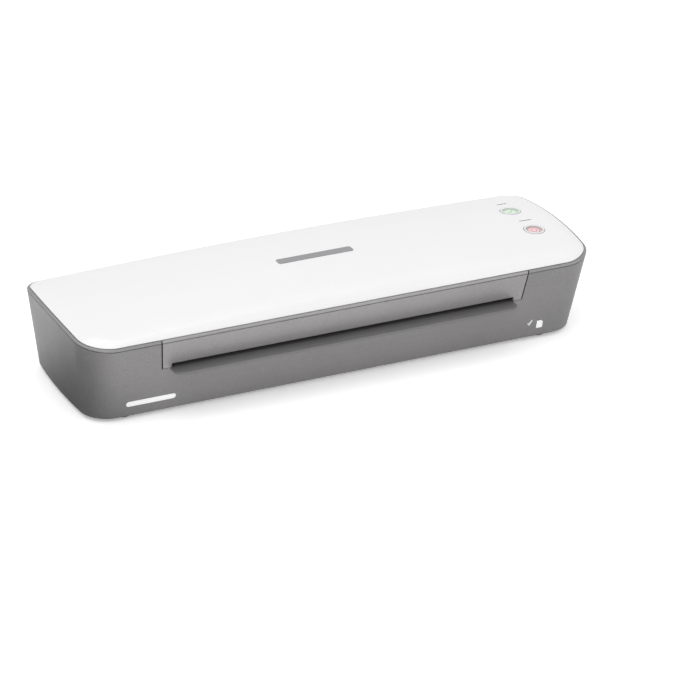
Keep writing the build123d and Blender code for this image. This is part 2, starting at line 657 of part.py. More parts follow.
with BuildPart() as tie_bars:
    for y, z in TIE_BARS:
        with BuildSketch(at_x(0)):
            with Locations((y, z)):
                Circle(4)
        extrude(amount=PLATE_IN, both=True)
        with BuildSketch(at_x(0)):
            with Locations((y, z)):
                Circle(2.5)
        extrude(amount=PLATE_OUT, both=True)
        for side in (-1, 1):
            with BuildSketch(at_x(side * PLATE_OUT)):
                with Locations((y, z)):
                    Circle(3.8)
            extrude(amount=side * 1.5)
save(tie_bars, "tie_bars")


def bush(axis_z, held):
    """A square plastic bush in the right-hand plate; a held one has flanges on both sides of the plate."""
    with BuildPart(mode=Mode.PRIVATE) as block:
        with BuildSketch(at_x(PLATE_IN - SNUG)):
            with Locations((ROLLER_Y, axis_z)):
                Rectangle(2 * BUSH_FLANGE_HALF, 2 * BUSH_FLANGE_HALF)
        extrude(amount=-BUSH_FLANGE)
        with BuildSketch(at_x(PLATE_IN - 1)):
            with Locations((ROLLER_Y, axis_z)):
                Rectangle(2 * (BUSH_HALF - RUNNING), 2 * (BUSH_HALF - RUNNING))
        extrude(amount=1 + PLATE_THICK + BUSH_FLANGE)
        if held:
            with BuildSketch(at_x(PLATE_OUT + SNUG)):
                with Locations((ROLLER_Y, axis_z)):
                    Rectangle(2 * BUSH_FLANGE_HALF, 2 * BUSH_FLANGE_HALF)
            extrude(amount=BUSH_FLANGE - SNUG)
            # seat for the pressure spring, level with the tops of the flanges
            with BuildSketch(at_x(PLATE_IN - 1)):
                with Locations((ROLLER_Y, axis_z)):
                    Rectangle(2 * (BUSH_HALF - RUNNING), BUSH_FLANGE_HALF, align=(Align.CENTER, Align.MIN))
            extrude(amount=1 + PLATE_THICK + 1)
        with BuildSketch(at_x(PLATE_IN - 5)):
            with Locations((ROLLER_Y, axis_z)):
                Circle(JOURNAL_R + RUNNING)
        extrude(amount=12, mode=Mode.SUBTRACT)
    return block.part


for name, axis_z, held in (("lower_bushes", LOWER_Z, False), ("upper_bushes", UPPER_Z, True)):
    with BuildPart() as bushes:
        right_bush = bush(axis_z, held)
        add(right_bush)
        add(right_bush.mirror(Plane.YZ))
    save(bushes, name)

PRESS_X = (PLATE_IN + PLATE_OUT) / 2
PRESS_SPRING = (UPPER_Z + BUSH_FLANGE_HALF, PLATE_Z[1])
with BuildPart() as pressure_springs:
    for side in (-1, 1):
        add(coil(side * PRESS_X, ROLLER_Y, *PRESS_SPRING, 2.5, 0.4, 5))
save(pressure_springs, "pressure_springs")

with BuildPart() as spring_retainers:
    for side in (-1, 1):
        with Locations((side * PRESS_X, ROLLER_Y, PLATE_Z[1])):
            Box(4, 28, 1.5, align=(Align.CENTER, Align.CENTER, Align.MIN))
        for y in (ROLLER_Y - 11, ROLLER_Y + 11):
            for face in (-1, 1):
                with Locations((side * PRESS_X + face * (PLATE_THICK / 2 + SNUG), y, PLATE_Z[1] + 0.5)):
                    Box(
                        1.3, 6, 4,
                        align=(Align.MIN if face > 0 else Align.MAX, Align.CENTER, Align.MAX),
                    )
        with BuildSketch(Plane.XY.offset(PLATE_Z[1])):
            with Locations((side * PRESS_X, ROLLER_Y)):
                Circle(1.6)
        extrude(amount=-2.5)
save(spring_retainers, "spring_retainers")


# ---------------------------------------------------------------- gears
def involute(angle):
    return tan(angle) - angle


def gear_blank(teeth, phase, centre):
    """An involute gear across the gear plane, with a tooth pointing at phase degrees from +Y towards +Z."""
    pitch_r = MODULE * teeth / 2
    base_r = pitch_r * cos(radians(PRESSURE_ANGLE))
    root_r = pitch_r - DEDENDUM
    tip_r = pitch_r + ADDENDUM
    half_at_base = pi / (2 * teeth) - BACKLASH / (4 * pitch_r) + involute(radians(PRESSURE_ANGLE))
    flank = [(root_r, half_at_base)]
    for step in range(5):
        radius = base_r + (tip_r - base_r) * step / 4
        flank.append((radius, half_at_base - involute(acos(base_r / radius))))
    tooth = [(radius, -half) for radius, half in flank] + [(radius, half) for radius, half in reversed(flank)]
    points = []
    for index in range(teeth):
        turn = radians(phase) + 2 * pi * index / teeth
        for radius, angle in tooth:
            points.append((radius * cos(turn + angle), radius * sin(turn + angle)))
    with BuildSketch(mode=Mode.PRIVATE) as outline:
        with BuildLine():
            Polyline(*points, close=True)
        make_face()
    with BuildPart(mode=Mode.PRIVATE) as blank:
        with BuildSketch(at_x(GEAR_X[0])):
            with Locations(centre):
                add(outline.sketch)
        extrude(amount=GEAR_X[1] - GEAR_X[0])
    return blank.part


def meshed_phase(phase, teeth, direction, other_teeth):
    """Phase of a gear that lies in this direction, so that one of its gaps faces the first gear's tooth."""
    turn = (direction - phase) * teeth / 360
    return direction + 180 - (0.5 - turn) * 360 / other_teeth


LOWER_PHASE = 90.0
UPPER_PHASE = meshed_phase(LOWER_PHASE, ROLLER_TEETH, 90, ROLLER_TEETH)
IDLER_PHASE = meshed_phase(LOWER_PHASE, ROLLER_TEETH, IDLER_ANGLE, IDLER_TEETH)
PINION_PHASE = meshed_phase(IDLER_PHASE, IDLER_TEETH, PINION_ANGLE, PINION_TEETH)


HUB_START = PLATE_OUT + BUSH_FLANGE + 0.3
JOURNAL_END = GEAR_X[1] + 2.6
FLAT_DEPTH = 3.2                # distance of the journals' driving flat from their axis

# ---------------------------------------------------------------- rollers and their drive
for prefix, axis_z, phase in (("lower", LOWER_Z, LOWER_PHASE), ("upper", UPPER_Z, UPPER_PHASE)):
    axis_place = (ROLLER_Y, axis_z)
    with BuildPart() as core:
        with BuildSketch(at_x(0)):
            with Locations(axis_place):
                Circle(CORE_R)
        extrude(amount=CORE_HALF, both=True)
        chamfer(core.edges().filter_by(GeomType.CIRCLE), 0.5)
        with BuildSketch(at_x(-PLATE_OUT - BUSH_FLANGE - 2.4)):
            with Locations(axis_place):
                Circle(JOURNAL_R)
        extrude(amount=PLATE_OUT + BUSH_FLANGE + 2.4 + JOURNAL_END)
        # grooves for the retaining clips, and the flat that drives the gear
        for groove_x in (-PLATE_OUT - BUSH_FLANGE - 0.2 - CLIP_THICK, GEAR_X[1] + 0.1):
            with BuildSketch(at_x(groove_x)):
                with Locations(axis_place):
                    Circle(JOURNAL_R + 1)
                    Circle(GROOVE_R, mode=Mode.SUBTRACT)
            extrude(amount=CLIP_THICK + 0.05, mode=Mode.SUBTRACT)
        with BuildSketch(at_x(HUB_START)):
            with Locations((ROLLER_Y, axis_z + FLAT_DEPTH)):
                Rectangle(10, 4, align=(Align.CENTER, Align.MIN))
        extrude(amount=JOURNAL_END, mode=Mode.SUBTRACT)
    save(core, f"{prefix}_roller_core")

    with BuildPart() as sleeve:
        with BuildSketch(at_x(0)):
            with Locations(axis_place):
                Circle(ROLLER_R)
                Circle(CORE_R + SNUG, mode=Mode.SUBTRACT)
        extrude(amount=SLEEVE_HALF, both=True)
        chamfer(sleeve.edges().filter_by(GeomType.CIRCLE).group_by(SortBy.RADIUS)[-1], 0.6)
    save(sleeve, f"{prefix}_roller_sleeve")

    with BuildPart() as gear:
        add(gear_blank(ROLLER_TEETH, phase, axis_place))
        with BuildSketch(at_x(HUB_START)):
            with Locations(axis_place):
                Circle(6)
        extrude(amount=GEAR_X[0] - HUB_START)
        with BuildSketch(at_x(HUB_START - 1)):
            with Locations(axis_place):
                Circle(JOURNAL_R + SNUG)
            with Locations((ROLLER_Y, axis_z + FLAT_DEPTH + SNUG)):
                Rectangle(10, 4, align=(Align.CENTER, Align.MIN), mode=Mode.SUBTRACT)
        extrude(amount=12, mode=Mode.SUBTRACT)
    save(gear, f"{prefix}_roller_gear")

    with BuildPart() as clips:
        for clip_x in (-PLATE_OUT - BUSH_FLANGE - 0.2 - CLIP_THICK + 0.02, GEAR_X[1] + 0.12):
            with BuildSketch(at_x(clip_x)):
                with Locations(axis_place):
                    Circle(CLIP_R)
                    Circle(GROOVE_R + SNUG, mode=Mode.SUBTRACT)
                with Locations((ROLLER_Y, axis_z)):
                    Rectangle(3.6, 2 * CLIP_R, align=(Align.CENTER, Align.MAX), mode=Mode.SUBTRACT)
            extrude(amount=CLIP_THICK)
    save(clips, f"{prefix}_roller_clips")

idler_place = (IDLER_Y, IDLER_Z)
with BuildPart() as idler_gear:
    add(gear_blank(IDLER_TEETH, IDLER_PHASE, idler_place))
    with BuildSketch(at_x(GEAR_X[0] - 1)):
        with Locations(idler_place):
            Circle(3 + RUNNING)
    extrude(amount=12, mode=Mode.SUBTRACT)
save(idler_gear, "idler_gear")

with BuildPart() as idler_stud:
    for start, end, radius in (
        (PLATE_IN - 1.2, PLATE_IN, 5.0),
        (PLATE_IN, PLATE_OUT, 3.0),
        (PLATE_OUT, GEAR_X[0] - 0.15, 4.5),
        (GEAR_X[0] - 0.15, GEAR_X[1] + 2, 3.0),
    ):
        with BuildSketch(at_x(start)):
            with Locations(idler_place):
                Circle(radius)
        extrude(amount=end - start)
    with BuildSketch(at_x(GEAR_X[1] + 0.1)):
        with Locations(idler_place):
            Circle(4)
            Circle(2.3, mode=Mode.SUBTRACT)
    extrude(amount=CLIP_THICK + 0.05, mode=Mode.SUBTRACT)
save(idler_stud, "idler_stud")

with BuildPart() as idler_clip:
    with BuildSketch(at_x(GEAR_X[1] + 0.12)):
        with Locations(idler_place):
            Circle(4.6)
            Circle(2.3 + SNUG, mode=Mode.SUBTRACT)
            Rectangle(2.8, 5, align=(Align.CENTER, Align.MAX), mode=Mode.SUBTRACT)
    extrude(amount=CLIP_THICK)
save(idler_clip, "idler_clip")

SHAFT_R = 2.5
pinion_place = (PINION_Y, PINION_Z)
with BuildPart() as motor_pinion:
    add(gear_blank(PINION_TEETH, PINION_PHASE, pinion_place))
    with BuildSketch(at_x(GEAR_X[0] - 1)):
        with Locations(pinion_place):
            Circle(SHAFT_R + SNUG)
    extrude(amount=12, mode=Mode.SUBTRACT)
save(motor_pinion, "motor_pinion")

with BuildPart() as motor_shaft:
    with BuildSketch(at_x(GEAR_X[0] - 0.4)):
        with Locations(pinion_place):
            Circle(SHAFT_R)
    extrude(amount=MOTOR_X[0] + 6 - GEAR_X[0])
    chamfer(motor_shaft.edges().filter_by(GeomType.CIRCLE).sort_by(Axis.X)[0], 0.4)
save(motor_shaft, "motor_shaft")

with BuildPart() as drive_motor:
    with BuildSketch(at_x(MOTOR_X[0])):
        with Locations((MOTOR_Y, MOTOR_Z)):
            Circle(MOTOR_R)
    extrude(amount=MOTOR_X[1] - MOTOR_X[0])
    fillet(drive_motor.edges().filter_by(GeomType.CIRCLE), 1.2)
    with BuildSketch(at_x(MOTOR_X[0])):
        with Locations((MOTOR_Y, MOTOR_Z)):
            with Locations(Location((0, 0, 0), (0, 0, MOTOR_EAR_ANGLE))):
                SlotCenterToCenter(2 * MOTOR_EAR_REACH, 9)
        with Locations(*motor_ears):
            Circle(PILOT_R, mode=Mode.SUBTRACT)
    extrude(amount=1.5)
    with BuildSketch(at_x(MOTOR_X[0])):
        with Locations(pinion_place):
            Circle(5.5)
    extrude(amount=-3)
    with BuildSketch(at_x(MOTOR_X[0] - 4)):
        with Locations(pinion_place):
            Circle(SHAFT_R + RUNNING)
    extrude(amount=10.5, mode=Mode.SUBTRACT)
    # capped terminals on the back
    with BuildSketch(at_x(MOTOR_X[1])):
        with Locations((MOTOR_Y, MOTOR_Z + 8)):
            RectangleRounded(16, 10, 2)
    extrude(amount=5)
save(drive_motor, "drive_motor")

with BuildPart() as motor_standoffs:
    with BuildSketch(at_x(PLATE_OUT)):
        with Locations(*motor_ears):
            Circle(STANDOFF_R)
            Circle(PILOT_R, mode=Mode.SUBTRACT)
    extrude(amount=MOTOR_X[0] - PLATE_OUT)
save(motor_standoffs, "motor_standoffs")

# ---------------------------------------------------------------- heaters
SHOE_HALF = PLATE_IN - SNUG
SHOE_ARC = 150.0                # how much of the roller each shoe wraps
PAD_REACH = 17.4
STRIP_X = (-150.0, 118.0)
STRIP_THICK = 1.5
THERMOSTAT_X = 137.0


def pad_plane(axis_z, sign, reach):
    """A plane parallel to the table, reach away from a roller's axis, facing away from the roller."""
    return Plane(origin=(0, ROLLER_Y, axis_z + sign * reach), x_dir=(1, 0, 0), z_dir=(0, 0, sign))


for prefix, axis_z, sign in (("lower", LOWER_Z, -1), ("upper", UPPER_Z, 1)):
    with BuildPart() as shoe:
        with BuildSketch(at_x(0)):
            with Locations((ROLLER_Y, axis_z)):
                Circle(SHOE_OUT_R)
            with Locations((ROLLER_Y, axis_z + sign * (PAD_REACH - 3))):
                Rectangle(13, 3, align=(Align.CENTER, Align.MIN if sign > 0 else Align.MAX))
            for port in heater_ports:
                if (port[1] - axis_z) * sign > 0:
                    with Locations(port):
                        Circle(3.4)
            with Locations((ROLLER_Y, axis_z)):
                Circle(SHOE_IN_R, mode=Mode.SUBTRACT)
            with Locations((ROLLER_Y, axis_z + sign * SHOE_OUT_R * cos(radians(SHOE_ARC / 2)))):
                Rectangle(
                    60, 60, align=(Align.CENTER, Align.MAX if sign > 0 else Align.MIN), mode=Mode.SUBTRACT
                )
            for port in heater_ports:
                with Locations(port):
                    Circle(PILOT_R, mode=Mode.SUBTRACT)
        extrude(amount=SHOE_HALF, both=True)
        # only the screw ports reach the side plates: the middle stops short of the pressure springs
        for side in (-1, 1):
            with Locations((side * (PLATE_IN - 5), ROLLER_Y, axis_z + sign * SHOE_OUT_R)):
                Box(
                    12, 17, 10,
                    align=(Align.MIN if side > 0 else Align.MAX, Align.CENTER, Align.CENTER),
                    mode=Mode.SUBTRACT,
                )
    save(shoe, f"{prefix}_heater_shoe")

with BuildPart() as heater_strips:
    for axis_z, sign in ((LOWER_Z, -1), (UPPER_Z, 1)):
        with BuildSketch(pad_plane(axis_z, sign, PAD_REACH)):
            with Locations((sum(STRIP_X) / 2, 0)):
                Rectangle(STRIP_X[1] - STRIP_X[0], 10)
        extrude(amount=STRIP_THICK)
save(heater_strips, "heater_strips")

with BuildPart() as thermostat_switch:
    with BuildSketch(pad_plane(UPPER_Z, 1, PAD_REACH)):
        with Locations((THERMOSTAT_X, 0)):
            RectangleRounded(22, 9, 2)
    extrude(amount=0.8)
    with BuildSketch(pad_plane(UPPER_Z, 1, PAD_REACH)):
        with Locations((THERMOSTAT_X, 0)):
            Circle(5)
    extrude(amount=4)
    fillet(thermostat_switch.edges().group_by(Axis.Z)[-1], 0.6)
save(thermostat_switch, "thermostat_switch")

with BuildPart() as thermal_fuse:
    with BuildSketch(at_x(THERMOSTAT_X)):
        with Locations((ROLLER_Y, LOWER_Z - PAD_REACH - 1.9)):
            Circle(1.9)
    extrude(amount=6, both=True)
    fillet(thermal_fuse.edges(), 0.5)
    with BuildSketch(at_x(THERMOSTAT_X)):
        with Locations((ROLLER_Y, LOWER_Z - PAD_REACH - 1.9)):
            Circle(0.4)
    extrude(amount=12, both=True)
save(thermal_fuse, "thermal_fuse")

# ---------------------------------------------------------------- guides for the pouch
GUIDE_HALF = PLATE_IN - 1.0
UPPER_MIDDLE_Z = UPPER_GUIDE_Z + GUIDE_THICK / 2
EXIT_MIDDLE_Z = EXIT_GUIDE_Z + GUIDE_THICK / 2
UPPER_ENTRY_LINE = [(-61.0, 54.5), (-28.0, UPPER_MIDDLE_Z), (-7.5, UPPER_MIDDLE_Z)]
UPPER_EXIT_LINE = [(16.5, UPPER_MIDDLE_Z), (44.0, UPPER_MIDDLE_Z), (70.0, 53.5)]
LOWER_EXIT_LINE = [(17.5, EXIT_MIDDLE_Z), (52.0, EXIT_MIDDLE_Z), (72.0, 43.6)]
for name, line, tabs in (
    ("upper_entry_guide", UPPER_ENTRY_LINE, ENTRY_TABS),
    ("upper_exit_guide", UPPER_EXIT_LINE, EXIT_TABS),
    ("lower_exit_guide", LOWER_EXIT_LINE, EXIT_TABS),
):
    flat_z = line[1][1]
    with BuildPart() as guide:
        with BuildSketch(at_x(0)):
            with BuildLine():
                Polyline(*line)
            trace(line_width=GUIDE_THICK)
        extrude(amount=GUIDE_HALF, both=True)
        with BuildSketch(Plane.XY.offset(flat_z)):
            with Locations((0, tabs[0])):
                Rectangle(2 * PLATE_OUT, tabs[1])
        extrude(amount=GUIDE_THICK / 2, both=True)
    save(guide, name)

# ---------------------------------------------------------------- mains inlet and wiring
INLET_FACE = rear_wall_y(INLET_Z) - 0.8
INLET_FLANGE = (22.0, 15.0, 1.6)
INLET_SEAT = rear_wall_y(INLET_Z - INLET_FLANGE[1] / 2) - WALL - SNUG
with BuildPart() as mains_inlet:
    with BuildSketch(Plane.XZ.offset(-INLET_FACE)):
        with Locations((INLET_X, INLET_Z)):
            RectangleRounded(16.2, 9.2, 3.4)
    extrude(amount=18)
    with BuildSketch(Plane.XZ.offset(-INLET_SEAT)):
        with Locations((INLET_X, INLET_Z)):
            RectangleRounded(INLET_FLANGE[0], INLET_FLANGE[1], 2)
    extrude(amount=INLET_FLANGE[2])
    with BuildSketch(Plane.XZ.offset(-INLET_FACE)):
        with Locations((INLET_X - 3.3, INLET_Z), (INLET_X + 3.3, INLET_Z)):
            Circle(3.6)
    extrude(amount=13, mode=Mode.SUBTRACT)
    with BuildSketch(Plane.XZ.offset(-INLET_FACE + 10)):
        with Locations((INLET_X - 3.3, INLET_Z), (INLET_X + 3.3, INLET_Z)):
            Circle(1.2 + SNUG)
    extrude(amount=12, mode=Mode.SUBTRACT)
save(mains_inlet, "mains_inlet")

with BuildPart() as inlet_pins:
    with BuildSketch(Plane.XZ.offset(-INLET_FACE + 4)):
        with Locations((INLET_X - 3.3, INLET_Z), (INLET_X + 3.3, INLET_Z)):
            Circle(1.2)
    extrude(amount=17)
    fillet(inlet_pins.edges().filter_by(GeomType.CIRCLE).group_by(Axis.Y)[-1], 0.8)
save(inlet_pins, "inlet_pins")

WIRE_R = 1.1
FLOOR_RUN_Z = 7.8               # the long run lies on the tub's floor and passes under the side plates
STRIP_TOP_Z = UPPER_Z + PAD_REACH + STRIP_THICK
WIRE_PATHS = [
    [
        (INLET_X, INLET_FACE - 22.4, INLET_Z), (INLET_X, 36, INLET_Z), (INLET_X, 20, FLOOR_RUN_Z),
        (INLET_X, -34, FLOOR_RUN_Z), (205, -34, FLOOR_RUN_Z), (205, -34, 60), (205, -16, 60),
        (205, -16, BOARD_Z - 0.1),
    ],
    [(212, 36, 46), (216, 36, 46), (216, 36, 60), (196, 20, 66), (196, 20, BOARD_Z - 0.1)],
    [
        (110, 7, STRIP_TOP_Z + WIRE_R + 0.1), (110, -13, STRIP_TOP_Z + WIRE_R + 0.1), (150, -13, 62),
        (190, -13, 62), (190, -13, BOARD_Z - 0.1),
    ],
]
with BuildPart() as wire_harness:
    for stations in WIRE_PATHS:
        with BuildLine() as route:
            FilletPolyline(*stations, radius=3)
        with BuildSketch(Plane(origin=route.line @ 0, z_dir=route.line % 0)):
            Circle(WIRE_R)
        sweep(path=route.line)
save(wire_harness, "wire_harness")


# ---------------------------------------------------------------- screws
def screw(length, head_height=HEAD_HEIGHT):
    """A cross-head pan screw that hangs down from the underside of its head at the origin."""
    with BuildPart(mode=Mode.PRIVATE) as fastener:
        with BuildSketch():
            Circle(HEAD_R)
        extrude(amount=head_height)
        fillet(fastener.edges().group_by(Axis.Z)[-1], 0.8)
        with BuildSketch(Plane.XY.offset(head_height - 0.9)):
            Rectangle(3, 0.7)
            Rectangle(0.7, 3)
        extrude(amount=2, mode=Mode.SUBTRACT)
        with BuildSketch():
            Circle(SCREW_R)
        extrude(amount=-length)
        chamfer(fastener.edges().group_by(Axis.Z)[0], 0.5)
    return fastener.part


def place_screws(length, places):
    """The same screw at every place, each place being a plane that its head rests on."""
    with BuildPart(mode=Mode.PRIVATE) as fasteners:
        for place in places:
            add(screw(length).moved(place.location))
    return fasteners.part


def facing_x(side, y, z, x):
    """A plane across X at x, looking outwards on that side of the machine."""
    return Plane(origin=(side * x, y, z), x_dir=(0, 1, 0), z_dir=(side, 0, 0))


def facing_down(x, y, z):
    """A level plane at this place that looks down."""
    return Plane(origin=(x, y, z), x_dir=(1, 0, 0), z_dir=(0, 0, -1))


COVER_SCREWS = [facing_down(x, y, COVER_POST_TOP - 3) for x, y in COVER_POSTS]
PLATE_SCREWS = [Plane(origin=(x, y, PLATE_Z[0] + PLATE_THICK)) for x, y in plate_screw_places]
HEATER_SCREWS = [facing_x(side, y, z, PLATE_OUT) for side in (-1, 1) for y, z in heater_ports]
MOTOR_SCREWS = [facing_x(1, y, z, MOTOR_X[0] + 1.5) for y, z in motor_ears]
BOARD_SCREWS = [facing_down(x, y, BOARD_Z) for x, y in board_posts]
for name, length, places in (
    ("cover_screws", 10, COVER_SCREWS),
    ("chassis_screws", 6, PLATE_SCREWS),
    ("heater_screws", 8, HEATER_SCREWS),
    ("motor_screws", MOTOR_X[0] + 1.5 - PLATE_IN, MOTOR_SCREWS),
    ("board_screws", 7, BOARD_SCREWS),
):
    with BuildPart() as screws:
        add(place_screws(length, places))
    save(screws, name)
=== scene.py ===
import json
import math

import bmesh
import bpy
from mathutils import Matrix, Vector
from mathutils.bvhtree import BVHTree


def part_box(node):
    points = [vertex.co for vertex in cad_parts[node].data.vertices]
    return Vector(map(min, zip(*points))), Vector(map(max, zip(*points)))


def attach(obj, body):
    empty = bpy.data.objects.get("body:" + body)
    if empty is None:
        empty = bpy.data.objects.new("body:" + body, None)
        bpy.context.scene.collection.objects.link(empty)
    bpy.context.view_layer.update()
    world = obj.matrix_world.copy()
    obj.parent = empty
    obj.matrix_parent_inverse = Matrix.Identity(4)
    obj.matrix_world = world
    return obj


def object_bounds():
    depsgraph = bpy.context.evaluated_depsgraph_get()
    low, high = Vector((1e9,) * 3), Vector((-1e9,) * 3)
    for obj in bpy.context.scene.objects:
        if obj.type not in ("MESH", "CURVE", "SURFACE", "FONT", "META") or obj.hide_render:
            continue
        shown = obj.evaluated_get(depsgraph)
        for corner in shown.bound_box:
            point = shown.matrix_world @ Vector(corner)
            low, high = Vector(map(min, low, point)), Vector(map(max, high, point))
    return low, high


# The looks of the pouch laminator: procedural materials for every CAD node, small printed marks that lie on
# its surfaces, a pale floor, soft studio light and a camera. Metres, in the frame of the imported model.

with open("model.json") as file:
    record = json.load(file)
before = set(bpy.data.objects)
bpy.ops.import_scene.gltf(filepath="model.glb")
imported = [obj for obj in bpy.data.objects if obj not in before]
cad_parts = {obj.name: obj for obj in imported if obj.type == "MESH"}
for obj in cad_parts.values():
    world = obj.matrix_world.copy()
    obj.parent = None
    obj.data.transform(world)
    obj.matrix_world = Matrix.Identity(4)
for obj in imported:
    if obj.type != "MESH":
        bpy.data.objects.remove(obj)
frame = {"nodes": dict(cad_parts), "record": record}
nodes = frame["nodes"]
cad_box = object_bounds()

MM = 0.001
scene = bpy.context.scene
scene.view_settings.view_transform = "Standard"


# ---------------------------------------------------------------- materials
class Shader:
    """A node material under construction, with its principled shader and the row frame as coordinates."""

    def __init__(self, name):
        self.material = bpy.data.materials.new(name)
        self.material.use_nodes = True
        self.tree = self.material.node_tree
        self.tree.nodes.clear()
        self.out = self.node("OutputMaterial")
        self.bsdf = self.node("BsdfPrincipled")
        self.link(self.bsdf, "BSDF", self.out, "Surface")
        self.coords = self.node("TexCoord")

    def node(self, kind, **settings):
        made = self.tree.nodes.new("ShaderNode" + kind)
        for key, value in settings.items():
            setattr(made, key, value)
        return made

    def link(self, source, output, target, entry):
        self.tree.links.new(source.outputs[output], target.inputs[entry])

    def set(self, target, **values):
        for key, value in values.items():
            target.inputs[key.replace("_", " ")].default_value = value

    def position(self, stretch=(1, 1, 1)):
        mapping = self.node("Mapping")
        mapping.inputs["Scale"].default_value = stretch
        self.link(self.coords, "Object", mapping, "Vector")
        return mapping

    def noise(self, scale, detail=2.0, roughness=0.5, stretch=(1, 1, 1)):
        texture = self.node("TexNoise")
        self.set(texture, Scale=scale, Detail=detail, Roughness=roughness)
        self.link(self.position(stretch), "Vector", texture, "Vector")
        return texture

    def ranged(self, source, output, low, high, from_low=0.3, from_high=0.7):
        remap = self.node("MapRange")
        self.set(remap, From_Min=from_low, From_Max=from_high, To_Min=low, To_Max=high)
        self.link(source, output, remap, "Value")
        return remap

    def math(self, operation, first, second):
        made = self.node("Math", operation=operation)
        for index, value in enumerate((first, second)):
            if isinstance(value, tuple):
                self.tree.links.new(value[0].outputs[value[1]], made.inputs[index])
            else:
                made.inputs[index].default_value = value
        return made

    def mix(self, factor, first, second):
        """Mixes two colours by factor; each may be a constant or a (node, output) pair."""
        made = self.node("Mix", data_type="RGBA")
        for entry, value in ((0, factor), (6, first), (7, second)):
            if isinstance(value, tuple) and not isinstance(value[0], (int, float)):
                self.tree.links.new(value[0].outputs[value[1]], made.inputs[entry])
            elif entry:
                made.inputs[entry].default_value = (*value[:3], 1.0)
            else:
                made.inputs[entry].default_value = value
        return made


def shade(colour, amount):
    """The colour made lighter or darker by this share."""
    return tuple(min(1.0, max(0.0, channel * (1 + amount))) for channel in colour)


EDGE_FACING = (0.93, 0.995)             # facing of the rounded normal over which an edge takes its edge colour: rubbed paint, and painted shade on the bezel
FLAKE_GAIN = 0.9                        # how much lighter a flake is than its ground
SEAM_SHADE_OPENNESS = (0.12, 0.70)         # openness over which the painted shade in narrow seams fades from dark to none
CREVICE_SHADE = -0.9                    # how much darker painted shade makes the bottom of a narrow seam
DEFAULT_WORN = 0.35                     # how much lighter a worn edge is, when no colour is given


def surface(
    name, colour, rough, *, metallic=0.0, tint=0.05, tint_scale=18.0, stretch=(1, 1, 1), grain=0.02,
    grain_scale=2600.0, rough_spread=0.06, edge_wear_and_shade=None, edge_wear_and_shade_strength=0.35, edge=0.35, coat=0.0, speckle=0.0, glow=0.0,
    sheen=0.0, transmission=0.0, specular=0.5, seam_shade_reach=0.0,
):
    """A moulded, painted or metal surface: mottled colour, grain, uneven roughness, rubbed edges and painted
    shade.

    edge is the radius, in millimetres, over which edges are rounded and recoloured, rubbed on most surfaces
    and darkened as painted shade on the bezel; grain is the bump's height in millimetres; stretch draws the
    mottle and the grain out into brush marks; the seam shade reach is how far, in millimetres, painted shade
    darkens narrow seams."""
    s = Shader(name)
    mottle = s.noise(tint_scale, 4.0, 0.55, stretch)
    shade_mix = s.mix((s.ranged(mottle, "Fac", 0, 1), "Result"), shade(colour, -tint), shade(colour, tint))
    tone = (shade_mix, 2)
    if speckle:
        flakes = s.node("TexVoronoi")
        s.set(flakes, Scale=grain_scale * 0.6)
        s.link(s.position(), "Vector", flakes, "Vector")
        flake_mask = s.ranged(flakes, "Color", 0, speckle, 0.0, 1.0)
        tone = (s.mix((flake_mask, "Result"), tone, shade(colour, FLAKE_GAIN)), 2)
    bevel = s.node("Bevel", samples=4)
    s.set(bevel, Radius=edge * MM)
    geometry = s.node("NewGeometry")
    facing = s.node("VectorMath", operation="DOT_PRODUCT")
    s.link(bevel, "Normal", facing, 0)
    s.link(geometry, "Normal", facing, 1)
    edge_mask = s.ranged(facing, "Value", 1.0, 0.0, *EDGE_FACING)
    patches = s.noise(220.0, 3.0, 0.6)
    patchy = s.ranged(patches, "Fac", 0.25, 1.0, 0.38, 0.62)
    edge_wear_and_shade_mask = s.math("MULTIPLY", (edge_mask, "Result"), (patchy, "Result"))
    edge_wear_and_shade_mask = s.math("MULTIPLY", (edge_wear_and_shade_mask, 0), edge_wear_and_shade_strength)
    # Edges take the edge colour: rubbed paint on most surfaces, painted shade on the bezel.
    tone = (s.mix((edge_wear_and_shade_mask, 0), tone, edge_wear_and_shade or shade(colour, DEFAULT_WORN)), 2)
    # Painted shade: ambient occlusion darkens the colour in narrow seams and gaps.
    if seam_shade_reach:
        closeness = s.node("AmbientOcclusion", samples=8)
        s.set(closeness, Distance=seam_shade_reach * MM)
        unshaded_mask = s.ranged(closeness, "AO", 0.0, 1.0, *SEAM_SHADE_OPENNESS)
        tone = (s.mix((unshaded_mask, "Result"), shade(colour, CREVICE_SHADE), tone), 2)
    s.tree.links.new(tone[0].outputs[tone[1]], s.bsdf.inputs["Base Color"])
    smears = s.noise(tint_scale * 2.3, 5.0, 0.6, stretch)
    s.link(s.ranged(smears, "Fac", rough - rough_spread, rough + rough_spread), "Result", s.bsdf, "Roughness")
    grains = s.noise(grain_scale, 2.0, 0.6, stretch)
    bump = s.node("Bump")
    s.set(bump, Strength=0.6, Distance=grain * MM)
    s.link(grains, "Fac", bump, "Height")
    s.link(bevel, "Normal", bump, "Normal")
    s.link(bump, "Normal", s.bsdf, "Normal")
    s.set(s.bsdf, Metallic=metallic, Coat_Weight=coat, Coat_Roughness=0.08, Sheen_Weight=sheen)
    s.set(s.bsdf, Transmission_Weight=transmission, Specular_IOR_Level=specular)
    if glow:
        s.bsdf.inputs["Emission Color"].default_value = (*colour, 1.0)
        s.set(s.bsdf, Emission_Strength=glow)
    return s.material


BRUSHED = (0.04, 1.0, 1.0)      # marks drawn out along X
TURNED = (1.0, 0.05, 0.05)      # marks that run round an axis along X

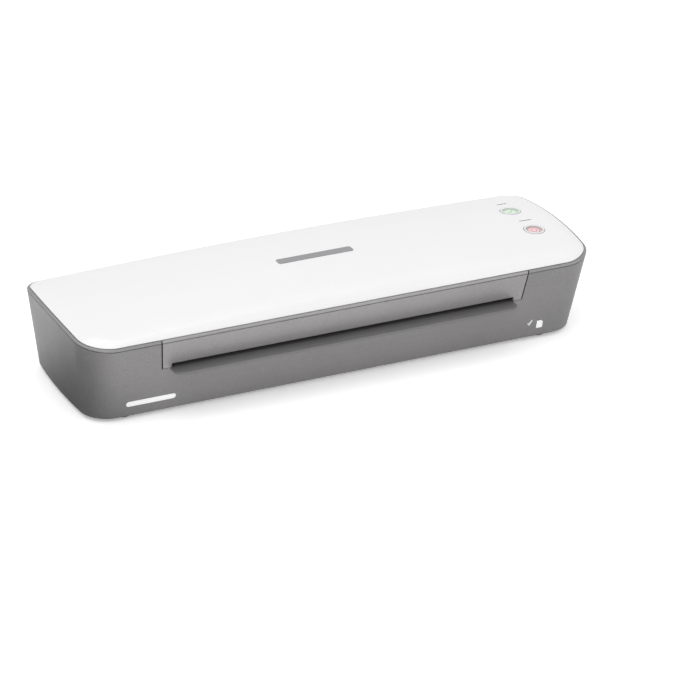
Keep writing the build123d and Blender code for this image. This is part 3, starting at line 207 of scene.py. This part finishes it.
looks = {
    "housing_grey": surface(
        "housing_silver_grey", (0.272, 0.265, 0.268), 0.40, metallic=0.35, tint=0.035, grain=0.016,
        grain_scale=1300, speckle=0.18, edge_wear_and_shade=(0.46, 0.45, 0.455), edge_wear_and_shade_strength=0.6, edge=0.6, rough_spread=0.04,
        seam_shade_reach=3.0,
    ),
    # A lit copy of the housing's silver grey: the centre panels are the same paint, made lighter as painted
    # light where the lamps leave them darker.
    "panel_grey": surface(
        "panel_silver_grey_lit_copy", (0.352, 0.343, 0.347), 0.38, metallic=0.35, tint=0.035, grain=0.016,
        grain_scale=1300, speckle=0.18, edge_wear_and_shade_strength=0.25, edge=0.4, rough_spread=0.04, seam_shade_reach=3.0,
    ),
    # A shaded copy of the housing's silver grey: the feed shelf is the same paint, made darker as painted
    # shade for the shadow under the slot's visor.
    "shelf_grey": surface(
        "shelf_silver_grey_shaded_copy", (0.185, 0.181, 0.183), 0.34, metallic=0.2, tint=0.04, grain=0.010,
        grain_scale=3200, speckle=0.06, edge_wear_and_shade_strength=0.30, edge=0.3, rough_spread=0.04,
    ),
    "cover_white": surface(
        "cover_gloss_white", (0.86, 0.86, 0.86), 0.22, tint=0.008, grain=0.004, grain_scale=900, coat=0.25,
        edge_wear_and_shade_strength=0.15, edge=0.35, edge_wear_and_shade=(0.80, 0.80, 0.79), rough_spread=0.03,
    ),
    "badge_grey": surface(
        "badge_satin_grey", (0.30, 0.30, 0.31), 0.28, metallic=0.3, tint=0.03, grain=0.003, edge=0.15,
        coat=0.2,
    ),
    "rubber_dark": surface(
        "foot_rubber", (0.022, 0.022, 0.023), 0.75, tint=0.12, grain=0.05, grain_scale=1500, edge_wear_and_shade_strength=0.5,
        edge_wear_and_shade=(0.07, 0.07, 0.07), sheen=0.2,
    ),
    # Painted shade: the bezel's dark edge colour and darkened seams draw the dark outlines round the raised
    # ring.
    "bezel_white": surface(
        "bezel_satin_white_shaded_rims", (0.80, 0.80, 0.80), 0.30, tint=0.01, grain=0.004, edge=0.30, edge_wear_and_shade_strength=0.9,
        edge_wear_and_shade=(0.22, 0.22, 0.23), seam_shade_reach=1.5,
    ),
    "lens_red": surface(
        "button_pale_red", (0.84, 0.66, 0.67), 0.25, tint=0.05, grain=0.004, coat=0.4, edge=0.15, glow=0.08,
        edge_wear_and_shade=(0.9, 0.5, 0.5), edge_wear_and_shade_strength=0.3,
    ),
    "lens_green": surface(
        "lens_pale_green", (0.70, 0.80, 0.68), 0.25, tint=0.05, grain=0.004, coat=0.4, edge=0.15, glow=0.08,
        edge_wear_and_shade=(0.6, 0.85, 0.62), edge_wear_and_shade_strength=0.3,
    ),
    "board_green": surface(
        "board_solder_mask", (0.02, 0.13, 0.05), 0.32, tint=0.18, tint_scale=160, grain=0.02, coat=0.3,
        edge_wear_and_shade=(0.32, 0.26, 0.10), edge_wear_and_shade_strength=0.6,
    ),
    "switch_black": surface("switch_black", (0.02, 0.02, 0.02), 0.5, tint=0.1, edge=0.1),
    "led_clear": surface("led_epoxy", (0.75, 0.82, 0.75), 0.1, transmission=0.6, tint=0.02, edge=0.1),
    "spring_steel": surface(
        "spring_wire", (0.55, 0.55, 0.56), 0.25, metallic=1.0, tint=0.08, grain=0.004, edge=0.05,
        stretch=(1, 1, 0.2),
    ),
    "plate_steel": surface(
        "plate_zinc", (0.50, 0.51, 0.52), 0.38, metallic=1.0, tint=0.14, tint_scale=60, grain=0.01,
        stretch=(1, 0.08, 1), edge_wear_and_shade=(0.68, 0.68, 0.69), rough_spread=0.12,
    ),
    "bar_steel": surface(
        "bar_turned_steel", (0.54, 0.54, 0.55), 0.30, metallic=1.0, tint=0.08, grain=0.008, stretch=TURNED,
        rough_spread=0.08,
    ),
    "shaft_steel": surface(
        "shaft_ground_steel", (0.64, 0.64, 0.65), 0.16, metallic=1.0, tint=0.05, grain=0.004, stretch=TURNED,
        rough_spread=0.05,
    ),
    "silicone_orange": surface(
        "roller_silicone", (0.42, 0.075, 0.025), 0.50, tint=0.10, tint_scale=26, grain=0.012,
        grain_scale=1700, sheen=0.15, edge_wear_and_shade_strength=0.25, stretch=(1, 0.4, 0.4),
    ),
    "bush_plastic": surface("bush_dark_plastic", (0.045, 0.042, 0.04), 0.5, tint=0.12, grain=0.01),
    "gear_plastic": surface(
        "gear_acetal", (0.74, 0.71, 0.62), 0.36, tint=0.04, grain=0.004, edge=0.12, edge_wear_and_shade_strength=0.4,
        edge_wear_and_shade=(0.5, 0.46, 0.38),
    ),
    "pinion_brass": surface(
        "pinion_brass", (0.66, 0.45, 0.15), 0.28, metallic=1.0, tint=0.09, tint_scale=120, edge=0.1,
        stretch=(0.1, 1, 1),
    ),
    "shoe_aluminium": surface(
        "shoe_extruded", (0.66, 0.66, 0.67), 0.34, metallic=1.0, tint=0.07, grain=0.012, stretch=BRUSHED,
        rough_spread=0.1,
    ),
    "strip_mica": surface(
        "strip_mica", (0.42, 0.30, 0.13), 0.42, tint=0.22, tint_scale=220, grain=0.02, edge_wear_and_shade=(0.7, 0.66, 0.5),
    ),
    "thermo_black": surface("thermostat_phenolic", (0.05, 0.03, 0.025), 0.35, tint=0.15, grain=0.006),
    "motor_zinc": surface(
        "motor_plated_can", (0.56, 0.55, 0.52), 0.33, metallic=1.0, tint=0.08, grain=0.008, rough_spread=0.1,
        edge_wear_and_shade=(0.7, 0.7, 0.68),
    ),
    "guide_steel": surface(
        "guide_bent_sheet", (0.44, 0.44, 0.45), 0.40, metallic=1.0, tint=0.10, grain=0.01, stretch=BRUSHED,
    ),
    "inlet_black": surface("inlet_black", (0.018, 0.018, 0.019), 0.46, tint=0.12, grain=0.012, edge_wear_and_shade_strength=0.4),
    "pin_brass": surface("pin_bright_brass", (0.72, 0.60, 0.32), 0.2, metallic=1.0, tint=0.06, edge=0.1),
    "wire_red": surface("wire_silicone_red", (0.38, 0.02, 0.016), 0.45, tint=0.1, grain=0.006, edge=0.1),
    "screw_zinc": surface(
        "screw_zinc", (0.60, 0.60, 0.62), 0.26, metallic=1.0, tint=0.08, grain=0.006, edge=0.12,
        edge_wear_and_shade=(0.3, 0.3, 0.3),
    ),
    # Painted light: the white ink glows a little, so that it reads brighter than the lamps make it.
    "print_white": surface(
        "print_white_ink_painted_glow", (0.95, 0.95, 0.95), 0.35, tint=0.02, grain=0.004, edge=0.05, glow=0.20,
    ),
    "print_grey": surface("print_grey_ink", (0.20, 0.20, 0.21), 0.4, tint=0.03, grain=0.004, edge=0.05),
    "print_red": surface("print_red_ink", (0.62, 0.22, 0.24), 0.35, tint=0.05, grain=0.004, edge=0.05),
    "print_green": surface("print_green_ink", (0.30, 0.56, 0.33), 0.35, tint=0.05, grain=0.004, edge=0.05),
}

slot_of = {entry["node"]: entry["material_slot"] for entry in frame["record"]["subparts"]}
# The centre panels take the lit copy of the housing grey and the feed shelf a shaded copy: painted light and
# painted shade.
slot_of.update(front_fascia="panel_grey", rear_fascia="panel_grey", feed_shelf="shelf_grey")
for name, node in nodes.items():
    node.data.materials.clear()
    node.data.materials.append(looks[slot_of[name]])


# ---------------------------------------------------------------- printed marks
PRINT_LIFT = 0.10 * MM
PRINT_SINK = 0.05 * MM


def pill(length, height, steps=10):
    """A bar with round ends."""
    radius = height / 2
    points = []
    for side, start in ((1, -90), (-1, 90)):
        for step in range(steps + 1):
            angle = math.radians(start + 180 * step / steps)
            end = side * (length / 2 - radius)
            points.append((end + radius * math.cos(angle), radius * math.sin(angle)))
    return points


def ribbon(path, width):
    """A closed outline of even width along an open path."""
    left, right = [], []
    for index, point in enumerate(path):
        before = Vector(path[max(index - 1, 0)])
        after = Vector(path[min(index + 1, len(path) - 1)])
        along = (after - before).normalized()
        across = Vector((-along.y, along.x)) * width / 2
        left.append(tuple(Vector(point) + across))
        right.append(tuple(Vector(point) - across))
    return left + right[::-1]


def arc(radius, start, end, steps=28):
    """Points on an arc, with its angles in degrees."""
    angles = [math.radians(start + (end - start) * step / steps) for step in range(steps + 1)]
    return [(radius * math.cos(angle), radius * math.sin(angle)) for angle in angles]


def ring(radius, width):
    """A thin band round a circle, as two half bands."""
    return [ribbon(arc(radius, start, start + 180), width) for start in (0, 180)]


def tree_of(name):
    mesh = nodes[name].data
    return BVHTree.FromPolygons([v.co for v in mesh.vertices], [p.vertices for p in mesh.polygons])


def printed(name, outlines, centre, right, up, on, look, body):
    """Thin inked shapes laid on a CAD node's surface: outlines are in millimetres, along right and up."""
    right, up = Vector(right).normalized(), Vector(up).normalized()
    outward = right.cross(up)
    surface_tree = tree_of(on)
    mesh = bmesh.new()
    for outline in outlines:
        corners = [mesh.verts.new(Vector(centre) + right * x * MM + up * y * MM) for x, y in outline]
        mesh.faces.new(corners)
    bmesh.ops.triangulate(mesh, faces=mesh.faces[:])
    bmesh.ops.recalc_face_normals(mesh, faces=mesh.faces[:])
    flat = list(mesh.faces)
    extruded = bmesh.ops.extrude_face_region(mesh, geom=flat)
    top = {item for item in extruded["geom"] if isinstance(item, bmesh.types.BMVert)}
    for vertex in mesh.verts:
        hit, normal, _, _ = surface_tree.ray_cast(vertex.co + outward * 20 * MM, -outward)
        if hit is None:
            raise ValueError(f"{name} reaches past {on}")
        vertex.co = hit + outward * (PRINT_LIFT if vertex in top else -PRINT_SINK)
    bmesh.ops.recalc_face_normals(mesh, faces=mesh.faces[:])
    data = bpy.data.meshes.new(name)
    mesh.to_mesh(data)
    mesh.free()
    piece = bpy.data.objects.new(name, data)
    scene.collection.objects.link(piece)
    data.materials.append(looks[look])
    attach(piece, body)
    return piece


def middle(name):
    low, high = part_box(name)
    return (low + high) / 2


FRONT_RIGHT = (1, 0, 0)
FRONT_UP = (0, -0.2225, 0.9749)         # up the drafted front wall
TOP_UP = (0, 1, 0)

# The marks on the front wall: their places in x and z, and their shapes, in millimetres.
BAR_PLACE = (-175.1, 15.5)
BAR_SIZE = (45, 5.0)
SHEET_PLACE = (190.0, 15.2)
SHEET = [(-2.9, -3.9), (2.9, -3.9), (2.9, 2.1), (1.1, 3.9), (-2.9, 3.9)]
TICK_PLACE = (180.0, 17.6)
TICK = [(-1.9, 0.4), (-0.4, -2.0), (2.2, 3.4)]
TICK_WIDTH = 0.8

# The marks on the caps and the bars behind them.
RING_RADIUS = 5.4
READY_RING_WIDTH = 0.6
READY_TICK = [(-2.9, 0.1), (-0.9, -2.3), (3.0, 2.7)]
READY_TICK_WIDTH = 0.9
POWER_RING_WIDTH = 0.8
POWER_ARC = (2.8, 125, 415)             # radius, and the angles where the arc starts and ends
POWER_STEM = [(0, 0.7), (0, 3.7)]
POWER_WIDTH = 0.7
LABEL_OFFSET = Vector((1.6, 19.6, 0)) * MM
LABEL_HEIGHT = 1.1
READY_LABEL_LENGTH = 9.6
POWER_LABEL_LENGTH = 11.6


def on_front(x, z):
    """The point of the lower housing's front wall at this x and height, in millimetres."""
    start = Vector((x * MM, cad_box[0].y - 20 * MM, z * MM))
    return tree_of("lower_housing").ray_cast(start, Vector((0, 1, 0)))[0]


for name, outline, place in (
    ("front_plain_mark", pill(*BAR_SIZE), BAR_PLACE),
    ("front_sheet_icon", SHEET, SHEET_PLACE),
    ("front_tick_icon", ribbon(TICK, TICK_WIDTH), TICK_PLACE),
):
    printed(
        name, [outline], on_front(*place), FRONT_RIGHT, FRONT_UP, "lower_housing", "print_white", "casing"
    )

ready = middle("ready_lens")
power = middle("power_button")
ready.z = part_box("ready_lens")[1].z
power.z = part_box("power_button")[1].z
printed(
    "ready_icon", [*ring(RING_RADIUS, READY_RING_WIDTH), ribbon(READY_TICK, READY_TICK_WIDTH)], ready,
    FRONT_RIGHT, TOP_UP, "ready_lens", "print_green", "casing",
)
printed(
    "power_icon",
    [
        *ring(RING_RADIUS, POWER_RING_WIDTH),
        ribbon(arc(*POWER_ARC), POWER_WIDTH),
        ribbon(POWER_STEM, POWER_WIDTH),
    ],
    power, FRONT_RIGHT, TOP_UP, "power_button", "print_red", "power_button",
)
for name, cap, length in (
    ("ready_label_bar", ready, READY_LABEL_LENGTH),
    ("power_label_bar", power, POWER_LABEL_LENGTH),
):
    printed(
        name, [pill(length, LABEL_HEIGHT)], cap + LABEL_OFFSET, FRONT_RIGHT, TOP_UP,
        "top_cover", "print_grey", "casing",
    )

# ---------------------------------------------------------------- studio
low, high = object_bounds()
centre = (low + high) / 2

FLOOR_REACH = 12.0
FLOOR_TONES = ((0.955, 0.955, 0.955), (0.965, 0.965, 0.965))
FLOOR_ROUGHNESS = 0.9
FLOOR_LIFT = 0.32                       # how much the floor brightens itself to the camera
BLACK_CARD = (0.02, 0.02, 0.02)
# Soft dark patches that only the object sees, as black cards beside it would be: centre, fade and strength.
CARDS = (
    ((low.x - 0.045, low.y + 0.060), (0.05, 0.14), 1.0),
    ((high.x + 0.040, low.y - 0.020), (0.02, 0.18), 0.3),
)

floor_shader = Shader("floor_pale")
cloudy = floor_shader.noise(3.0, 3.0)
tone = floor_shader.mix((floor_shader.ranged(cloudy, "Fac", 0, 1), "Result"), *FLOOR_TONES)
seen = floor_shader.node("LightPath")
unseen = floor_shader.math("SUBTRACT", 1.0, (seen, "Is Camera Ray"))
for (card_x, card_y), (near, far), strength in CARDS:
    distance = floor_shader.node("VectorMath", operation="DISTANCE")
    distance.inputs[1].default_value = (card_x, card_y, low.z)
    floor_shader.link(floor_shader.coords, "Object", distance, 0)
    card = floor_shader.ranged(distance, "Value", strength, 0.0, near, far)
    card = floor_shader.math("MULTIPLY", (card, "Result"), (unseen, 0))
    tone = floor_shader.mix((card, 0), (tone, 2), BLACK_CARD)
floor_shader.link(tone, 2, floor_shader.bsdf, "Base Color")
floor_shader.set(floor_shader.bsdf, Roughness=FLOOR_ROUGHNESS)
floor_shader.bsdf.inputs["Emission Color"].default_value = (1.0, 1.0, 1.0, 1.0)
lift = floor_shader.math("MULTIPLY", (seen, "Is Camera Ray"), FLOOR_LIFT)
floor_shader.link(lift, 0, floor_shader.bsdf, "Emission Strength")

# The floor is clear from below, so that the underside shows.
clear = floor_shader.node("BsdfTransparent")
sided = floor_shader.node("NewGeometry")
either = floor_shader.node("MixShader")
floor_shader.link(sided, "Backfacing", either, "Fac")
floor_shader.link(floor_shader.bsdf, "BSDF", either, 1)
floor_shader.link(clear, "BSDF", either, 2)
floor_shader.link(either, "Shader", floor_shader.out, "Surface")

corners = [(x * FLOOR_REACH, y * FLOOR_REACH, low.z) for x, y in ((-1, -1), (1, -1), (1, 1), (-1, 1))]
floor_mesh = bpy.data.meshes.new("floor")
floor_mesh.from_pydata(corners, [], [(0, 1, 2, 3)])
floor_mesh.materials.append(floor_shader.material)
floor = bpy.data.objects.new("floor", floor_mesh)
scene.collection.objects.link(floor)

WORLD_STRENGTH = 0.80
world = bpy.data.worlds.new("studio")
world.use_nodes = True
backdrop = world.node_tree.nodes["Background"]
backdrop.inputs["Color"].default_value = (1.0, 1.0, 1.0, 1.0)
backdrop.inputs["Strength"].default_value = WORLD_STRENGTH
scene.world = world


def softbox(name, place, size, power):
    """A large soft area light that faces the object."""
    light = bpy.data.lights.new(name, "AREA")
    light.shape = "RECTANGLE"
    light.size, light.size_y = size
    light.energy = power
    lamp = bpy.data.objects.new(name, light)
    lamp.location = place
    lamp.rotation_euler = (centre - Vector(place)).to_track_quat("-Z", "Y").to_euler()
    scene.collection.objects.link(lamp)


# Place, size in metres and power in watts of each light.
SOFTBOXES = {
    "key_overhead": ((-0.5, -0.3, 2.2), (2.4, 2.0), 16.0),
    "fill_right": ((2.0, -1.4, 1.2), (1.6, 1.2), 3.5),
    "fill_front": ((-0.7, -2.6, 0.9), (1.6, 1.0), 2.5),
    "side_left": ((-2.2, 0.5, 0.9), (1.4, 1.0), 1.5),
}
for name, settings in SOFTBOXES.items():
    softbox(name, *settings)

CAMERA_PLACE = (-1.5296, -3.2174, 1.7434)
CAMERA_LENS = 237.25
CAMERA_SENSOR = 36.0
CAMERA_CLIP = (0.05, 60.0)
AZIMUTH, ELEVATION, ROLL = (math.radians(angle) for angle in (25.966, 26.058, -0.984))

# The camera looks along -away; level and upright are its axes before the roll.
flat = Vector((-math.sin(AZIMUTH), -math.cos(AZIMUTH), 0))
away = flat * math.cos(ELEVATION) + Vector((0, 0, math.sin(ELEVATION)))
level = Vector((0, 0, 1)).cross(away).normalized()
upright = away.cross(level)
right = level * math.cos(ROLL) - upright * math.sin(ROLL)
turn = Matrix((right, away.cross(right), away)).transposed().to_4x4()

camera_data = bpy.data.cameras.new("camera")
camera_data.sensor_width = CAMERA_SENSOR
camera_data.lens = CAMERA_LENS
camera_data.clip_start, camera_data.clip_end = CAMERA_CLIP
camera = bpy.data.objects.new("camera", camera_data)
camera.matrix_world = Matrix.Translation(CAMERA_PLACE) @ turn
scene.collection.objects.link(camera)
scene.camera = camera
